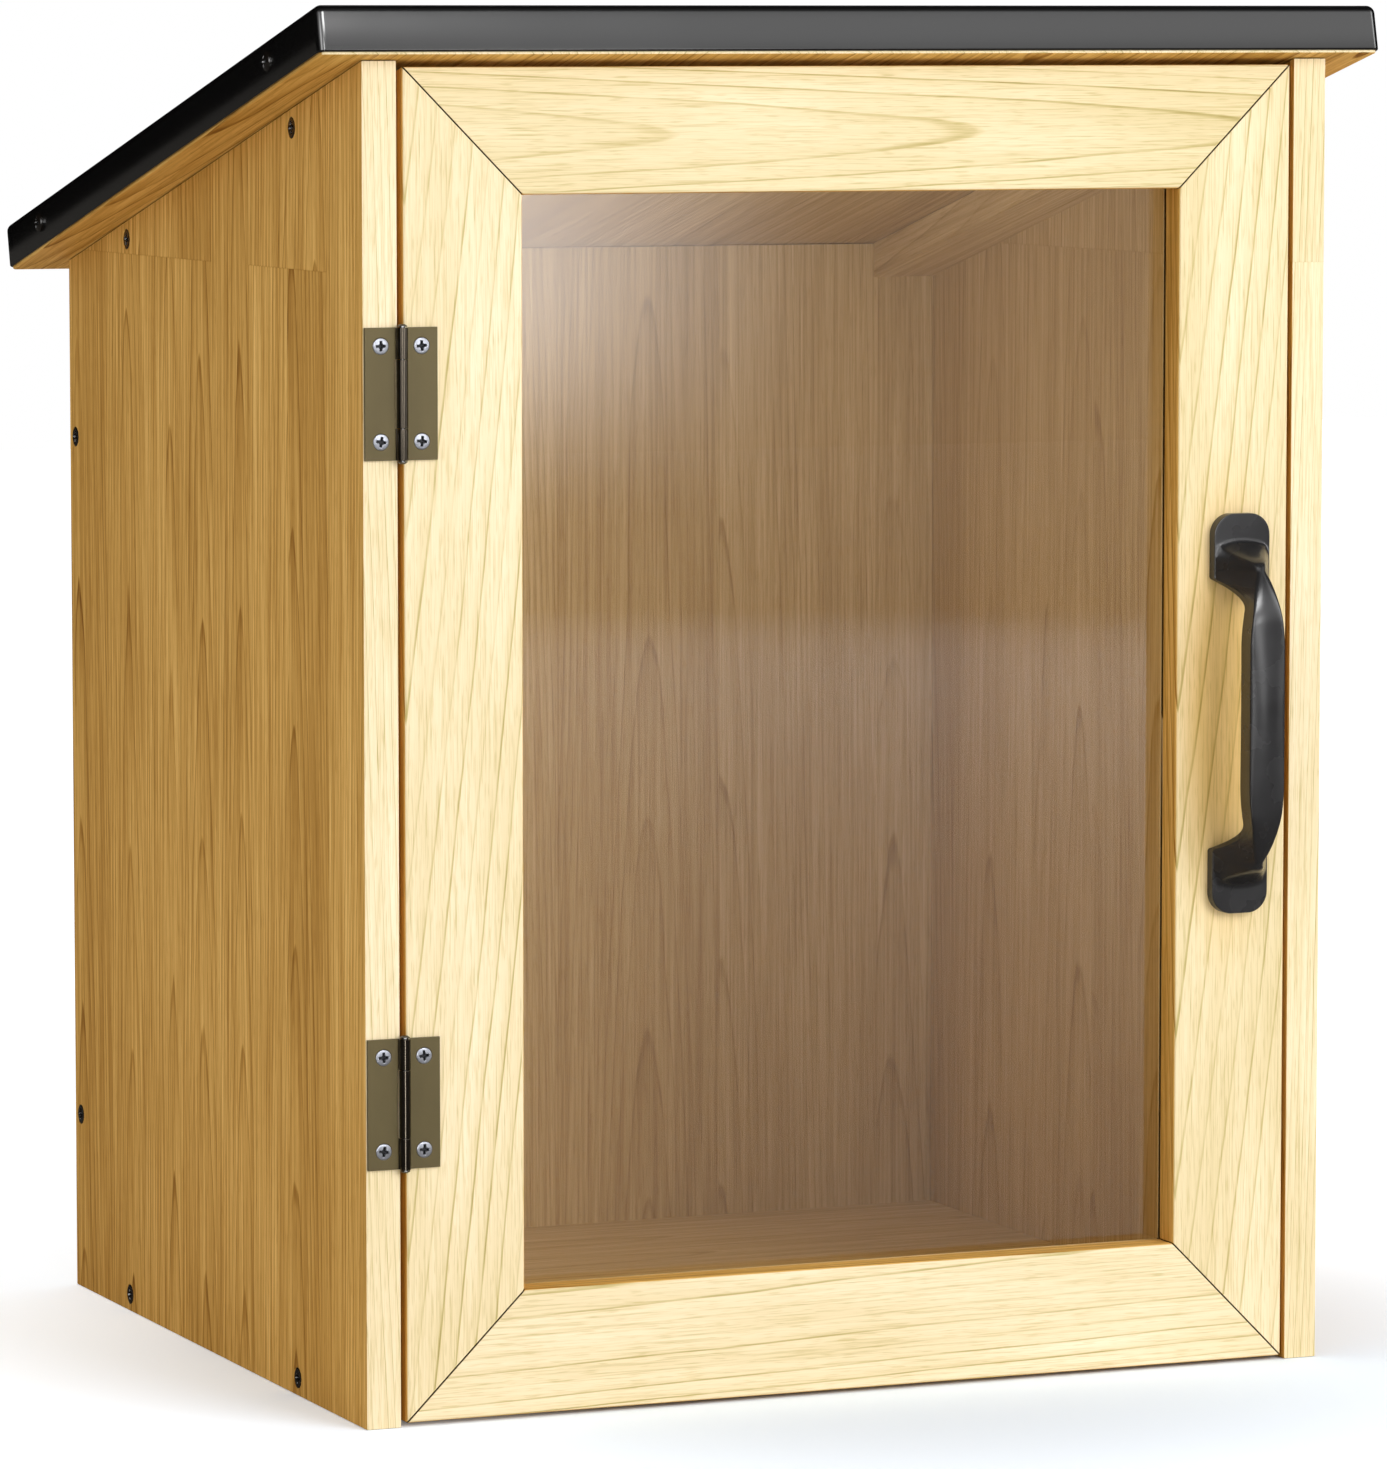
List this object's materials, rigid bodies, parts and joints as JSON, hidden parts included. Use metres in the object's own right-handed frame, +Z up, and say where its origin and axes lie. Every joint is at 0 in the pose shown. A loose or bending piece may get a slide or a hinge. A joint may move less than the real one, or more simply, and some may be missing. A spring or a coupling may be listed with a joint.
{
  "type": "street book exchange box",
  "caption": "Pine book exchange box with a sloping roof under a folded metal cover and a glazed, mitred door on butt hinges, with a pull handle and a magnetic catch.",
  "frame": {"origin": "centre of the cabinet's footprint on its underside", "axes": "+Z up, the door faces -Y, +X towards the viewer's right; the door is hinged on the -X side"},
  "size_m": [0.4492, 0.4083, 0.5392],
  "materials": {
    "pine_board": "clear oiled edge-glued pine",
    "pine_frame": "clear oiled pine",
    "black_coating": "satin black powder coat",
    "black_screw": "black phosphate",
    "bronze_plating": "antique bronze plated steel",
    "zinc_screw": "bright zinc plated",
    "satin_black": "satin black",
    "clear_glazing": "clear polished",
    "white_plastic": "moulded white",
    "bright_steel": "nickel plated"
  },
  "bodies": {
    "cabinet": {"back_panel": "pine_board", "catch_housing": "white_plastic", "catch_magnet": "bright_steel", "catch_screw_lower": "zinc_screw", "catch_screw_upper": "zinc_screw", "floor_panel": "pine_board", "left_back_screw_lower": "black_screw", "left_back_screw_upper": "black_screw", "left_cleat_screw_front": "black_screw", "left_cleat_screw_rear": "black_screw", "left_flange_screw_front": "black_screw", "left_flange_screw_rear": "black_screw", "left_floor_screw_front": "black_screw", "left_floor_screw_rear": "black_screw", "left_roof_cleat": "pine_board", "left_roof_screw_front": "zinc_screw", "left_roof_screw_rear": "zinc_screw", "left_side_panel": "pine_board", "lower_hinge_frame_leaf": "bronze_plating", "lower_hinge_frame_screw_bottom": "zinc_screw", "lower_hinge_frame_screw_top": "zinc_screw", "lower_hinge_pin": "bronze_plating", "right_back_screw_lower": "black_screw", "right_back_screw_upper": "black_screw", "right_cleat_screw_front": "black_screw", "right_cleat_screw_rear": "black_screw", "right_flange_screw_front": "black_screw", "right_flange_screw_rear": "black_screw", "right_floor_screw_front": "black_screw", "right_floor_screw_rear": "black_screw", "right_roof_cleat": "pine_board", "right_roof_screw_front": "zinc_screw", "right_roof_screw_rear": "zinc_screw", "right_side_panel": "pine_board", "roof_board": "pine_board", "roof_cover": "black_coating", "upper_hinge_frame_leaf": "bronze_plating", "upper_hinge_frame_screw_bottom": "zinc_screw", "upper_hinge_frame_screw_top": "zinc_screw", "upper_hinge_pin": "bronze_plating"},
    "door": {"bottom_glazing_bead": "pine_frame", "bottom_rail": "pine_frame", "catch_keeper": "bright_steel", "glass_pane": "clear_glazing", "handle_screw_lower": "bright_steel", "handle_screw_upper": "bright_steel", "keeper_screw": "zinc_screw", "left_glazing_bead": "pine_frame", "left_stile": "pine_frame", "lower_hinge_door_leaf": "bronze_plating", "lower_hinge_door_screw_bottom": "zinc_screw", "lower_hinge_door_screw_top": "zinc_screw", "pull_handle": "satin_black", "right_glazing_bead": "pine_frame", "right_stile": "pine_frame", "top_glazing_bead": "pine_frame", "top_rail": "pine_frame", "upper_hinge_door_leaf": "bronze_plating", "upper_hinge_door_screw_bottom": "zinc_screw", "upper_hinge_door_screw_top": "zinc_screw"}
  },
  "joints": [
    {"name": "door_swing", "type": "hinge", "parent": "cabinet", "child": "door", "pos_m": [-0.1874, -0.1798, 0.2593], "axis": [0, 0, -1], "range_deg": [0, 175]}
  ]
}
